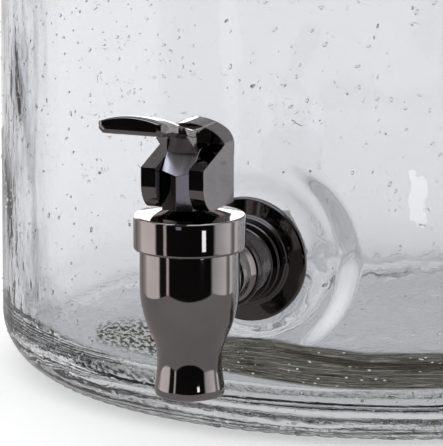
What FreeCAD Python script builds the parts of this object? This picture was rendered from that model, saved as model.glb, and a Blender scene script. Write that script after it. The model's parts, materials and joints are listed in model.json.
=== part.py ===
import FreeCAD, Part
import math
import os
import re

import Sketcher

# A glass beverage dispenser: a jar with a lift-off lid and a lever tap of black chromed metal.
# Frame: +Z up, origin on the jar's axis at the face it stands on, tap towards -Y, millimetres.

SIZES = {
    # glass jar
    "jar_radius": 131, "jar_wall": 6, "floor_thickness": 12,
    "heel_radius": 18, "inner_heel_radius": 12,
    "shoulder_height": 225, "shoulder_radius": 28, "neck_cove": 4,
    "neck_radius": 97, "mouth_radius": 90, "rim_height": 272,
    "bead_height": 9, "bead_radius": 6, "rim_edge": 1,
    # flat pad on the jar's wall that the tap bolts to
    "tap_height": 58.3, "pad_radius": 31, "pad_draft": 1, "pad_rise": 0.6, "pad_face": 1.2,
    "seat_radius": 23, "seat_edge": 0.6, "pad_root": 5.2, "tap_hole_radius": 9, "spot_radius": 17,
    # shank, gaskets and nut, measured along the tap's level axis from the wall
    "shank_radius": 7.9, "shank_bore": 5, "shank_inner_end": 23, "shank_outer_end": 18,
    "thread_pitch": 1.5, "thread_depth": 0.8, "thread_turns": 13,
    "gasket_radius": 18.2, "gasket_thickness": 1.4, "sleeve_radius": 8.8, "sleeve_length": 4,
    "inner_gasket_radius": 15.5, "inner_gasket_thickness": 2.5,
    "washer_radius": 14.5, "washer_thickness": 1.2,
    "nut_flat": 24, "nut_length": 8, "running_gap": 0.05,
    # escutcheon, neck sleeve and neck ring
    "plate_radius": 19, "plate_edge": 0.5, "plate_rim": 1.6, "hub_radius": 13.5, "plate_front": 6.5,
    "hub_rise": 1.3, "o_ring_radius": 9.15, "o_ring_section": 0.95,
    "neck_core": 9.5, "sleeve_back_radius": 12.6, "sleeve_front_radius": 10.9, "sleeve_front": 19.4,
    "neck_ring_radius": 11.5, "neck_ring_front": 22.4, "throat_radius": 8.6, "throat_at": 28,
    "neck_root_radius": 10.4, "tap_reach": 49.1,
    # tulip body of the tap, heights above the standing face
    "outlet_height": 26.3, "lip_radius": 10.3, "lip_height": 29, "lip_round": 1.3,
    "waist_radius": 9.5, "waist_height": 37.3, "waist_curve": 15, "flare_angle": 23,
    "flare_top_height": 46.25, "belly_curve": 34, "tulip_radius": 14.7,
    "collar_seat_height": 70.1, "body_top_height": 76.1, "body_thread_radius": 13.5,
    "outlet_bore": 6.5, "outlet_step": 41.5, "seat_throat": 5.6, "seat_height": 45, "seat_land_radius": 9.6,
    "bowl_radius": 12.2, "bowl_height": 52, "flow_bore": 5,
    # bonnet ring, packing and spring
    "bonnet_radius": 16.5, "bonnet_edge": 0.8, "bonnet_top": 80.4, "dome_height": 82.3,
    "dome_flat_radius": 4.6, "bonnet_ceiling": 77.5, "guide_radius": 6.8, "guide_bottom": 74,
    "groove_bottom": 78.2, "groove_height": 1.7, "groove_radius": 5.3,
    "bonnet_seal_section": 0.65, "packing_section": 0.78,
    "spring_radius": 8, "spring_wire": 0.55, "spring_turns": 5,
    # valve stem
    "stem_radius": 3.5, "stem_screw_radius": 2, "stem_tip_radius": 3, "stem_shoulder": 51,
    "stem_tip_shoulder": 84, "stem_top": 90, "disc_radius": 8.8, "disc_thickness": 3,
    "backing_thickness": 1.5, "cup_radius": 9.6, "cup_lip": 1, "cup_floor": 1.3,
    "screw_head_radius": 4, "screw_head_height": 2.5,
    # stem head between the lever's cheeks
    "head_half_width": 4.9, "head_bottom": 82.9, "head_ridge": 10.3, "head_side_front": 9.2,
    "head_back": 5.4, "pin_height": 94, "head_crown": 7.2, "facet_low": 93.2,
    "facet_inner": 5.1, "head_foot": 1.2, "pin_radius": 2,
    # lever
    "lever_half_width": 9.8, "cheek_inner": 5.2, "cheek_bottom": 82.9, "cheek_front": 13.1,
    "cheek_back": 10.2, "cheek_front_top": 95.8, "cheek_arc": 8, "cheek_back_arc": 1,
    "ledge_back": 3.4, "ledge_top": 100.9, "hood_top": 107.7, "hood_front": 1.5,
    "hood_back_round": 1.6, "hood_back_curve": 16, "hood_spring": 99.5, "hood_shoulder": 104.6,
    "hood_corner": 2,
    "hood_corner_radius": 7, "hood_crown_radius": 14,
    "web_clearance": 8, "web_foot_front": 5.4, "web_foot": 99, "web_front": 15.4,
    "web_front_top": 106.6, "web_top": 106.5,
    "pin_half_length": 8, "paddle_bevel": 1.2,
    # lid with its seal and knob
    "lid_gap": 1, "lid_radius": 98, "lid_thickness": 5, "lid_edge": 2, "lid_dome": 5,
    "plug_radius": 86, "plug_depth": 9, "plug_wall": 5, "lid_hole": 3.4, "crown_radius": 20,
    "seal_radius": 89.4, "seal_lip": 0.9,
    "knob_radius": 14, "knob_foot_radius": 11, "knob_neck_radius": 7.5,
    "knob_neck_height": 6, "knob_pad": 1, "knob_screw_radius": 3, "knob_screw_head": 6,
    "knob_screw_head_height": 3, "knob_thread_depth": 12, "knob_plate_radius": 10,
    "knob_plate": 1.5,
}

doc = FreeCAD.newDocument("BeverageDispenser")
sheet = doc.addObject("Spreadsheet::Sheet", "Sizes")
for row, (alias, size) in enumerate(SIZES.items(), start=1):
    sheet.set("A%d" % row, alias.replace("_", " "))
    sheet.set("B%d" % row, str(size))
    sheet.setAlias("B%d" % row, alias)
doc.recompute()

SUBPARTS = []
ZERO = 1e-9


def linked(expression):
    """Write an expression over the sheet's aliases the way another object refers to them."""
    return re.sub(r"\b([a-z]+(?:_[a-z]+)+)\b", r"Sizes.\1", str(expression))


def value(expression):
    """The number that an expression over the sheet's aliases gives."""
    result = sheet.evalExpression(str(expression))
    return float(getattr(result, "Value", result))


def keep(piece, label, base=("0", "0", "0"), turn=FreeCAD.Rotation()):
    """Give a finished sub-part its label and its place, and put it on the list to write."""
    piece.Label = label
    place_at(piece, base, turn)
    SUBPARTS.append(piece)
    return piece


def place_at(piece, base, turn=FreeCAD.Rotation()):
    piece.Placement = FreeCAD.Placement(FreeCAD.Vector(*[value(part) for part in base]), turn)
    for axis, expression in zip("xyz", base):
        piece.setExpression("Placement.Base." + axis, linked(expression))


def arc_centre(start, end, radius):
    """Centre of the short arc between two points that turns left for a positive radius."""
    chord = (end[0] - start[0], end[1] - start[1])
    half = math.hypot(*chord) / 2
    rise = math.sqrt(max(radius * radius - half * half, 0)) * math.copysign(1, radius)
    return (start[0] + chord[0] / 2 - chord[1] / (2 * half) * rise,
            start[1] + chord[1] / 2 + chord[0] / (2 * half) * rise)


def draw_outline(sketch, outline):
    """Draw a closed outline of lines and arcs and bind each corner to the sheet.

    A corner is (across, up), or (across, up, radius) where an arc leads to it.
    """
    corners = [(value(corner[0]), value(corner[1])) for corner in outline]
    sides = []
    for index, corner in enumerate(outline):
        start, end = corners[index - 1], corners[index]
        if len(corner) == 2:
            line = Part.LineSegment(FreeCAD.Vector(*start, 0), FreeCAD.Vector(*end, 0))
            sides.append((sketch.addGeometry(line), 1, 2))
            continue
        radius = value(corner[2])
        centre = arc_centre(start, end, radius)
        first, last = (start, end) if radius > 0 else (end, start)
        angles = [math.atan2(point[1] - centre[1], point[0] - centre[0]) for point in (first, last)]
        circle = Part.Circle(FreeCAD.Vector(*centre, 0), FreeCAD.Vector(0, 0, 1), abs(radius))
        side = sketch.addGeometry(Part.ArcOfCircle(circle, *angles))
        sides.append((side, 1, 2) if radius > 0 else (side, 2, 1))
        rule = sketch.addConstraint(Sketcher.Constraint("Radius", side, abs(radius)))
        sketch.setExpression("Constraints[%d]" % rule, linked("abs(%s)" % corner[2]))
    for index, (side, _, end) in enumerate(sides):
        following, start, _ = sides[(index + 1) % len(sides)]
        sketch.addConstraint(Sketcher.Constraint("Coincident", side, end, following, start))
        for kind, axis, place, number in zip(("DistanceX", "DistanceY"), (-2, -1),
                                             corners[index], outline[index]):
            if abs(place) < ZERO:
                sketch.addConstraint(Sketcher.Constraint("PointOnObject", side, end, axis))
                continue
            rule = sketch.addConstraint(Sketcher.Constraint(kind, side, end, place))
            sketch.setExpression("Constraints[%d]" % rule, linked(number))


def sketch_in(body, name, plane, outline):
    """A sketch of one closed outline on one of the body's own planes."""
    sketch = body.newObject("Sketcher::SketchObject", name)
    support = [item for item in body.Origin.OriginFeatures if item.Role == plane][0]
    sketch.AttachmentSupport = [(support, "")]
    sketch.MapMode = "FlatFace"
    draw_outline(sketch, outline)
    return sketch


def turned(name, outline):
    """A body turned about its own Z axis from an outline of radius and height."""
    body = doc.addObject("PartDesign::Body", name)
    sketch = sketch_in(body, name + "_outline", "XZ_Plane", outline)
    feature = body.newObject("PartDesign::Revolution", name + "_turning")
    feature.Profile = sketch
    feature.ReferenceAxis = (sketch, ["V_Axis"])
    feature.Angle = 360
    sketch.Visibility = False
    return body


def padded(name, plane, outline, length, middle=True):
    """A body pushed out of an outline, to both sides of its plane or to one."""
    body = doc.addObject("PartDesign::Body", name)
    sketch = sketch_in(body, name + "_outline", plane, outline)
    feature = body.newObject("PartDesign::Pad", name + "_pad")
    feature.Profile = sketch
    feature.Midplane = middle
    feature.Length = value(length)
    feature.setExpression("Length", linked(length))
    return body


def rod(name, radius, length, bottom="0", across=False):
    """A plain cylinder from the sheet, upright, or level along X and centred."""
    cylinder = doc.addObject("Part::Cylinder", name)
    cylinder.setExpression("Radius", linked(radius))
    cylinder.setExpression("Height", linked(length))
    if across:
        cylinder.Placement = FreeCAD.Placement(FreeCAD.Vector(), FreeCAD.Rotation(0, 90, 0))
        cylinder.setExpression("Placement.Base.x", linked("-(%s) / 2" % length))
        cylinder.setExpression("Placement.Base.z", linked(bottom))
    else:
        cylinder.setExpression("Placement.Base.z", linked(bottom))
    return cylinder


def ring(name, major, minor, height):
    """A ring of round section about the upright axis."""
    torus = doc.addObject("Part::Torus", name)
    torus.setExpression("Radius1", linked(major))
    torus.setExpression("Radius2", linked(minor))
    holder = doc.addObject("Part::Compound", name + "_group")
    torus.setExpression("Placement.Base.z", linked(height))
    holder.Links = [torus]
    return holder


def joined(name, *pieces):
    fuse = doc.addObject("Part::MultiFuse", name)
    fuse.Shapes = list(pieces)
    return fuse


def less(name, base, tool):
    cut = doc.addObject("Part::Cut", name)
    cut.Base = base
    cut.Tool = tool
    return cut


def shared(name, first, second):
    common = doc.addObject("Part::Common", name)
    common.Base = first
    common.Tool = second
    return common


# Parts of the level tap are turned about Z and laid with that axis pointing away from the wall.
LEVEL = FreeCAD.Rotation(FreeCAD.Vector(1, 0, 0), 90)
WALL_AXIS = ("0", "-jar_radius", "tap_height")
STEM_AXIS = ("0", "-jar_radius - tap_reach", "0")


def washer(name, inner, outer, back, front):
    """A flat ring between two distances along its axis."""
    return turned(name, [(inner, back), (outer, back), (outer, front), (inner, front)])


def make_jar():
    inner = "jar_radius - jar_wall"
    shoulder_top = "shoulder_height + shoulder_radius"
    inner_shoulder = "shoulder_radius - jar_wall"
    wall = turned("jar_wall_body", [
        ("0", "0"),
        ("jar_radius - heel_radius", "0"),
        ("jar_radius", "heel_radius", "heel_radius"),
        ("jar_radius", "shoulder_height"),
        ("jar_radius - shoulder_radius", shoulder_top, "shoulder_radius"),
        ("neck_radius + neck_cove", shoulder_top),
        ("neck_radius", shoulder_top + " + neck_cove", "-neck_cove"),
        ("neck_radius", "rim_height - rim_edge - bead_height"),
        ("neck_radius", "rim_height - rim_edge", "bead_radius"),
        ("neck_radius - rim_edge", "rim_height"),
        ("mouth_radius + rim_edge", "rim_height"),
        ("mouth_radius", "rim_height - rim_edge"),
        ("mouth_radius", shoulder_top + " - jar_wall + neck_cove"),
        ("mouth_radius + neck_cove", shoulder_top + " - jar_wall", "neck_cove"),
        ("jar_radius - shoulder_radius", shoulder_top + " - jar_wall"),
        (inner, "shoulder_height", "-(%s)" % inner_shoulder),
        (inner, "floor_thickness + inner_heel_radius"),
        (inner + " - inner_heel_radius", "floor_thickness", "-inner_heel_radius"),
        ("0", "floor_thickness"),
    ])
    pad = turned("tap_pad", [
        ("0", "-pad_root"),
        ("pad_radius + pad_draft", "-pad_root"),
        ("pad_radius", "0"),
        ("pad_radius - pad_draft", "pad_rise"),
        ("seat_radius + seat_edge", "pad_rise"),
        ("seat_radius", "pad_face"),
        ("0", "pad_face"),
    ])
    place_at(pad, WALL_AXIS, LEVEL)
    hole = rod("tap_hole", "tap_hole_radius", "4 * jar_wall", "0")
    spot = rod("gasket_spot", "spot_radius", "jar_wall", "0")
    for tool, depth in ((hole, "2 * jar_wall"), (spot, "2 * jar_wall")):
        place_at(tool, ("0", "-jar_radius + " + depth, "tap_height"), LEVEL)
    jar = less("jar_cut", joined("jar_solid", wall, pad), joined("jar_tools", hole, spot))
    keep(jar, "glass_jar")


def make_shank():
    """Threaded tube through the wall, with plain grooves one pitch apart for its thread."""
    outline = [("shank_bore", "-shank_inner_end")]
    outline.append(("shank_radius - thread_depth", "-shank_inner_end"))
    for turn in range(int(SIZES["thread_turns"])):
        start = "-shank_inner_end + %d * thread_pitch" % turn
        outline.append(("shank_radius - thread_depth", start + " + thread_pitch / 4"))
        outline.append(("shank_radius", start + " + thread_pitch * 5 / 8"))
        outline.append(("shank_radius - thread_depth", start + " + thread_pitch"))
    outline.append(("shank_radius", "-shank_inner_end + (thread_turns + 1) * thread_pitch"))
    outline.append(("shank_radius", "shank_outer_end"))
    outline.append(("shank_bore", "shank_outer_end"))
    keep(turned("shank_body", outline), "shank", WALL_AXIS, LEVEL)


def make_wall_seals():
    """Gaskets on both faces of the glass, the washer and the nut that clamp them."""
    free = "shank_radius + running_gap"
    outer = turned("outer_gasket_body", [
        (free, "pad_face - sleeve_length"),
        ("sleeve_radius", "pad_face - sleeve_length"),
        ("sleeve_radius", "pad_face"),
        ("gasket_radius", "pad_face"),
        ("gasket_radius", "pad_face + gasket_thickness"),
        (free, "pad_face + gasket_thickness"),
    ])
    keep(outer, "outer_gasket", WALL_AXIS, LEVEL)
    gasket_back = "-jar_wall - inner_gasket_thickness"
    washer_back = gasket_back + " - washer_thickness"
    keep(washer("inner_gasket_body", free, "inner_gasket_radius", gasket_back, "-jar_wall"),
         "inner_gasket", WALL_AXIS, LEVEL)
    keep(washer("inner_washer_body", free, "washer_radius", washer_back, gasket_back),
         "inner_washer", WALL_AXIS, LEVEL)
    nut_back = washer_back + " - nut_length"
    prism = doc.addObject("Part::Prism", "nut_prism")
    prism.Polygon = 6
    prism.setExpression("Circumradius", linked("nut_flat / 2 / cos(30 deg)"))
    prism.setExpression("Height", linked("nut_length"))
    prism.setExpression("Placement.Base.z", linked(nut_back))
    crown = turned("nut_crown", [
        (free, nut_back),
        ("nut_flat / 2", nut_back),
        ("nut_flat / 2 / cos(30 deg)", nut_back + " + washer_thickness"),
        ("nut_flat / 2 / cos(30 deg)", washer_back),
        (free, washer_back),
    ])
    keep(shared("nut_body", prism, crown), "shank_nut", WALL_AXIS, LEVEL)


def make_neck_trim():
    """Escutcheon against the glass, its O-ring, and the sleeve and ring round the neck."""
    back = "pad_face + gasket_thickness"
    free = "shank_radius + running_gap"
    pocket = "o_ring_radius + o_ring_section + running_gap"
    plate = turned("escutcheon_body", [
        (free, back),
        ("plate_radius - plate_edge", back),
        ("plate_radius", back + " + plate_edge"),
        ("plate_radius", back + " + plate_rim"),
        ("plate_radius - plate_edge", back + " + plate_rim + plate_edge"),
        ("hub_radius + plate_edge", "plate_front - hub_rise"),
        ("hub_radius", "plate_front - hub_rise + plate_edge"),
        ("hub_radius", "plate_front - plate_edge"),
        ("hub_radius - plate_edge", "plate_front"),
        (pocket, "plate_front"),
        (pocket, "plate_front - 2 * o_ring_section - 2 * running_gap"),
        (free, "plate_front - 2 * o_ring_section - 2 * running_gap"),
    ])
    keep(plate, "escutcheon", WALL_AXIS, LEVEL)
    seal = ring("escutcheon_o_ring_body", "o_ring_radius", "o_ring_section",
                "plate_front - o_ring_section - running_gap")
    keep(seal, "escutcheon_o_ring", WALL_AXIS, LEVEL)
    core = "neck_core + running_gap"
    sleeve = turned("neck_sleeve_body", [
        (core, "plate_front"),
        ("sleeve_back_radius - plate_edge", "plate_front"),
        ("sleeve_back_radius", "plate_front + plate_edge"),
        ("sleeve_front_radius", "sleeve_front"),
        (core, "sleeve_front"),
    ])
    keep(sleeve, "neck_sleeve", WALL_AXIS, LEVEL)
    collar = turned("neck_ring_body", [
        (core, "sleeve_front"),
        ("neck_ring_radius - plate_edge", "sleeve_front"),
        ("neck_ring_radius - plate_edge", "neck_ring_front", "neck_ring_front - sleeve_front"),
        (core, "neck_ring_front"),
    ])
    keep(collar, "neck_ring", WALL_AXIS, LEVEL)


def make_tap_body():
    """Tulip body with its level neck, hollow from the shank to the outlet."""
    flare = "flare_angle * 1 deg"
    waist_end = "waist_curve * sin(%s)" % flare
    flare_start = "waist_radius + waist_curve * (1 - cos(%s))" % flare
    flare_end = "tulip_radius - belly_curve * (1 - cos(%s))" % flare
    lip_sweep = "((lip_radius - waist_radius)^2 + (waist_height - lip_height)^2)"
    tulip = turned("tulip", [
        ("0", "outlet_height"),
        ("lip_radius - lip_round", "outlet_height"),
        ("lip_radius", "outlet_height + lip_round", "lip_round"),
        ("lip_radius", "lip_height"),
        ("waist_radius", "waist_height", "-%s / (2 * (lip_radius - waist_radius))" % lip_sweep),
        (flare_start, "waist_height + " + waist_end, "-waist_curve"),
        (flare_end, "flare_top_height"),
        ("tulip_radius", "flare_top_height + belly_curve * sin(%s)" % flare, "belly_curve"),
        ("tulip_radius", "collar_seat_height"),
        ("body_thread_radius", "collar_seat_height"),
        ("body_thread_radius", "body_top_height"),
        ("0", "body_top_height"),
    ])
    place_at(tulip, STEM_AXIS)
    neck = turned("neck", [
        ("0", "plate_front"),
        ("neck_core", "plate_front"),
        ("neck_core", "neck_ring_front"),
        ("neck_root_radius", "neck_ring_front"),
        ("throat_radius", "throat_at"),
        ("neck_root_radius", "tap_reach - tulip_radius + plate_edge"),
        ("neck_root_radius", "tap_reach - bowl_radius"),
        ("0", "tap_reach - bowl_radius"),
    ])
    place_at(neck, WALL_AXIS, LEVEL)
    bowl = turned("bowl", [
        ("0", "outlet_height - lip_round"),
        ("outlet_bore", "outlet_height - lip_round"),
        ("outlet_bore", "outlet_step"),
        ("seat_throat", "outlet_step"),
        ("seat_throat", "seat_height"),
        ("seat_land_radius", "seat_height"),
        ("bowl_radius", "bowl_height"),
        ("bowl_radius", "body_top_height + lip_round"),
        ("0", "body_top_height + lip_round"),
    ])
    place_at(bowl, STEM_AXIS)
    passage = turned("passage", [
        ("0", "plate_front - lip_round"),
        ("shank_radius + running_gap", "plate_front - lip_round"),
        ("shank_radius + running_gap", "shank_outer_end"),
        ("flow_bore", "shank_outer_end"),
        ("flow_bore", "tap_reach"),
        ("0", "tap_reach"),
    ])
    place_at(passage, WALL_AXIS, LEVEL)
    body = less("tap_body_cut", joined("tap_solid", tulip, neck), joined("tap_hollow", bowl, passage))
    keep(body, "tap_body")


def make_bonnet():
    """Ring screwed over the body's top, with the stem's guide and packing groove."""
    guide = "stem_radius + running_gap"
    threads = "body_thread_radius + running_gap"
    bonnet = turned("bonnet_body", [
        (threads, "collar_seat_height"),
        ("bonnet_radius - bonnet_edge", "collar_seat_height"),
        ("bonnet_radius", "collar_seat_height + bonnet_edge", "bonnet_edge"),
        ("bonnet_radius", "bonnet_top - bonnet_edge"),
        ("bonnet_radius - bonnet_edge", "bonnet_top", "bonnet_edge"),
        ("dome_flat_radius", "dome_height"),
        (guide, "dome_height"),
        (guide, "groove_bottom + groove_height"),
        ("groove_radius", "groove_bottom + groove_height"),
        ("groove_radius", "groove_bottom"),
        (guide, "groove_bottom"),
        (guide, "guide_bottom"),
        ("guide_radius", "guide_bottom"),
        ("guide_radius", "bonnet_ceiling"),
        (threads, "bonnet_ceiling"),
    ])
    keep(bonnet, "bonnet_ring", STEM_AXIS)
    seal = ring("bonnet_o_ring_body", "(bowl_radius + body_thread_radius) / 2",
                "bonnet_seal_section", "(body_top_height + bonnet_ceiling) / 2")
    keep(seal, "bonnet_o_ring", STEM_AXIS)
    packing = ring("stem_o_ring_body", "groove_radius - packing_section - running_gap",
                   "packing_section", "groove_bottom + groove_height / 2")
    keep(packing, "stem_o_ring", STEM_AXIS)


def make_stem():
    """Rod with the valve disc, its backing washer, the spring cup and the screw below."""
    rod_body = turned("valve_stem_body", [
        ("0", "seat_height"),
        ("stem_screw_radius", "seat_height"),
        ("stem_screw_radius", "stem_shoulder"),
        ("stem_radius", "stem_shoulder"),
        ("stem_radius", "stem_tip_shoulder"),
        ("stem_tip_radius", "stem_tip_shoulder"),
        ("stem_tip_radius", "stem_top"),
        ("0", "stem_top"),
    ])
    keep(rod_body, "valve_stem", STEM_AXIS)
    hole = "stem_screw_radius"
    disc_top = "seat_height + disc_thickness"
    backing_top = disc_top + " + backing_thickness"
    keep(washer("valve_disc_body", hole, "disc_radius", "seat_height", disc_top),
         "valve_disc", STEM_AXIS)
    keep(washer("disc_backing_body", hole, "disc_radius", disc_top, backing_top),
         "disc_backing", STEM_AXIS)
    cup = turned("spring_cup_body", [
        (hole, backing_top),
        ("cup_radius", backing_top),
        ("cup_radius", backing_top + " + cup_floor + cup_lip"),
        ("cup_radius - cup_lip", backing_top + " + cup_floor + cup_lip"),
        ("cup_radius - cup_lip", backing_top + " + cup_floor"),
        (hole, backing_top + " + cup_floor"),
    ])
    keep(cup, "spring_cup", STEM_AXIS)
    screw = turned("disc_screw_body", [
        ("0", "seat_height - screw_head_height"),
        ("screw_head_radius - lip_round", "seat_height - screw_head_height"),
        ("screw_head_radius", "seat_height - screw_head_height + lip_round"),
        ("screw_head_radius", "seat_height"),
        ("0", "seat_height"),
    ])
    keep(screw, "disc_screw", STEM_AXIS)
    spring_bottom = "seat_height + disc_thickness + backing_thickness + cup_floor + spring_wire"
    spring_top = "bonnet_ceiling - spring_wire"
    gap = "2 * running_gap"
    helix = doc.addObject("Part::Helix", "spring_line")
    helix.setExpression("Radius", linked("spring_radius"))
    height = "(%s) - (%s) - 2 * (%s)" % (spring_top, spring_bottom, gap)
    helix.setExpression("Height", linked(height))
    helix.setExpression("Pitch", linked("(%s) / spring_turns" % height))
    wire = doc.addObject("Part::Circle", "spring_section")
    wire.setExpression("Radius", linked("spring_wire"))
    wire.Placement = FreeCAD.Placement(FreeCAD.Vector(value("spring_radius"), 0, 0),
                                       FreeCAD.Rotation(FreeCAD.Vector(1, 0, 0), 90))
    wire.setExpression("Placement.Base.x", linked("spring_radius"))
    coil = doc.addObject("Part::Sweep", "spring_coil")
    coil.Sections = [wire]
    doc.recompute()
    coil.Spine = (helix, ["Edge%d" % (index + 1) for index in range(len(helix.Shape.Edges))])
    coil.Solid = True
    coil.Frenet = True
    keep(coil, "valve_spring", ("0", "-jar_radius - tap_reach", "%s + %s" % (spring_bottom, gap)))


def make_stem_head():
    """Block on top of the stem: a shallow ridge in front, crowned about the pin, with a foot."""
    plan = padded("head_plan", "XY_Plane", [
        ("-head_half_width", "head_back"),
        ("-head_half_width", "-head_side_front"),
        ("0", "-head_ridge"),
        ("head_half_width", "-head_side_front"),
        ("head_half_width", "head_back"),
    ], "pin_height + head_crown - head_bottom", middle=False)
    place_at(plan, ("0", "0", "head_bottom"))
    crown_half = "sqrt(head_crown^2 - head_back^2)"
    facet_start = "sqrt(head_crown^2 - facet_inner^2)"
    side = padded("head_side", "YZ_Plane", [
        ("head_back", "head_bottom"),
        ("head_back", "pin_height + " + crown_half),
        ("-facet_inner", "pin_height + " + facet_start, "head_crown"),
        ("-head_ridge", "facet_low"),
        ("-head_ridge", "head_bottom"),
    ], "4 * head_half_width")
    foot = turned("head_foot_cone", [
        ("0", "head_bottom"),
        ("head_half_width + head_foot", "head_bottom"),
        ("head_half_width - head_foot", "head_bottom + 2 * head_foot"),
        ("0", "head_bottom + 2 * head_foot"),
    ])
    strip = padded("head_strip", "XY_Plane", [
        ("-head_half_width", "head_ridge"),
        ("-head_half_width", "-head_ridge"),
        ("head_half_width", "-head_ridge"),
        ("head_half_width", "head_ridge"),
    ], "2 * head_bottom", middle=False)
    block = joined("head_block", shared("head_form", plan, side), shared("foot_form", foot, strip))
    socket = rod("head_socket", "stem_tip_radius", "stem_top - head_bottom + head_foot",
                 "head_bottom - head_foot")
    bore = rod("head_bore", "pin_radius + running_gap", "4 * head_half_width", "pin_height",
               across=True)
    collar = rod("head_counterbore", "stem_radius", "stem_tip_shoulder - head_bottom + head_foot",
                 "head_bottom - head_foot")
    keep(less("head_cut", block, joined("head_tools", socket, bore, collar)), "stem_head", STEM_AXIS)


def lever_section(index, back, half_width, crown, edge, bottom):
    """One cross-section of the thumb paddle: flat and bevelled below, with a crowned top."""
    sketch = doc.addObject("Sketcher::SketchObject", "lever_section_%d" % index)
    rise = "(%s - %s)" % (crown, edge)
    radius = "((%s)^2 + %s^2) / (2 * %s)" % (half_width, rise, rise)
    bevel = "%s + paddle_bevel" % bottom
    draw_outline(sketch, [
        ("paddle_bevel - %s" % half_width, bottom),
        ("%s - paddle_bevel" % half_width, bottom),
        (half_width, bevel),
        (half_width, edge),
        ("0", crown, radius),
        ("-(%s)" % half_width, edge, radius),
        ("-(%s)" % half_width, bevel),
    ])
    sketch.Placement = FreeCAD.Placement(FreeCAD.Vector(0, back, 0),
                                         FreeCAD.Rotation(FreeCAD.Vector(1, 0, 0), 90))
    return sketch


# Stations of the thumb paddle from its front edge to the hood, in the stem's frame:
# distance from the stem, half width, crown height, side height, underside height.
PADDLE_STATIONS = (
    (-44.2, 8.4, 115.7, 114.4, 112.2),
    (-43.2, 9.7, 116.0, 114.3, 111.0),
    (-38.0, 9.9, 115.3, 113.4, 110.0),
    (-30.0, 8.9, 113.7, 112.0, 108.4),
    (-22.0, 6.9, 111.5, 110.1, 106.7),
    (-13.4, 5.4, 109.0, 107.8, 104.8),
    (-6.0, 5.2, 107.0, 106.2, 103.4),
    (1.0, 5.2, 105.8, 105.1, 102.2),
)


def make_lever():
    """Thumb paddle, arched hood, two cheeks and the web between them, on a cross pin."""
    sections = [lever_section(index, *station) for index, station in enumerate(PADDLE_STATIONS)]
    paddle = doc.addObject("Part::Loft", "lever_paddle")
    paddle.Sections = sections
    paddle.Solid = True
    paddle.Ruled = False
    cheeks = padded("lever_cheeks", "YZ_Plane", [
        ("-cheek_front", "cheek_front_top"),
        ("-cheek_front", "cheek_bottom + cheek_arc"),
        ("-cheek_front + cheek_arc", "cheek_bottom", "cheek_arc"),
        ("cheek_back - cheek_back_arc", "cheek_bottom"),
        ("cheek_back", "cheek_bottom + cheek_back_arc", "cheek_back_arc"),
        ("cheek_back", "cheek_front_top"),
        ("cheek_back - hood_back_round", "hood_top", "hood_back_curve"),
        ("-hood_front", "hood_top"),
        ("ledge_back", "ledge_top"),
    ], "2 * lever_half_width")
    arch = padded("hood_arch", "XZ_Plane", [
        ("-lever_half_width", "cheek_bottom - cheek_back_arc"),
        ("lever_half_width", "cheek_bottom - cheek_back_arc"),
        ("lever_half_width", "hood_spring"),
        ("lever_half_width - hood_corner", "hood_shoulder", "hood_corner_radius"),
        ("0", "hood_top", "hood_crown_radius"),
        ("hood_corner - lever_half_width", "hood_shoulder", "hood_crown_radius"),
        ("-lever_half_width", "hood_spring", "hood_corner_radius"),
    ], "4 * cheek_front")
    slot = padded("lever_slot", "YZ_Plane", [
        ("-2 * cheek_front", "cheek_bottom - cheek_back_arc"),
        ("2 * cheek_front", "cheek_bottom - cheek_back_arc"),
        ("2 * cheek_front", "pin_height"),
        ("0", "pin_height"),
        ("-web_foot_front", "web_foot"),
        ("-2 * cheek_front", "web_front_top + lever_half_width"),
    ], "2 * cheek_inner")
    web = padded("lever_web", "YZ_Plane", [
        ("-web_foot_front", "web_foot"),
        ("cheek_back", "pin_height"),
        ("cheek_back", "cheek_front_top"),
        ("cheek_back - hood_back_round", "web_top"),
        ("-web_front", "web_front_top"),
    ], "2 * cheek_inner")
    arc = rod("lever_clearance", "web_clearance", "2 * cheek_inner", "pin_height", across=True)
    pin_hole = rod("lever_pin_hole", "pin_radius", "2 * pin_half_length", "pin_height", across=True)
    sides = less("lever_sides", shared("lever_block", cheeks, arch), slot)
    frame = joined("lever_frame", paddle, sides, web)
    keep(less("lever_cut", frame, joined("lever_tools", arc, pin_hole)), "lever", STEM_AXIS)
    pin = rod("pin_rod", "pin_radius", "2 * pin_half_length", "0")
    place_at(pin, ("-pin_half_length", "0", "pin_height"), FreeCAD.Rotation(0, 90, 0))
    holder = doc.addObject("Part::Compound", "pin_group")
    holder.Links = [pin]
    keep(holder, "pivot_pin", STEM_AXIS)


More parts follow.
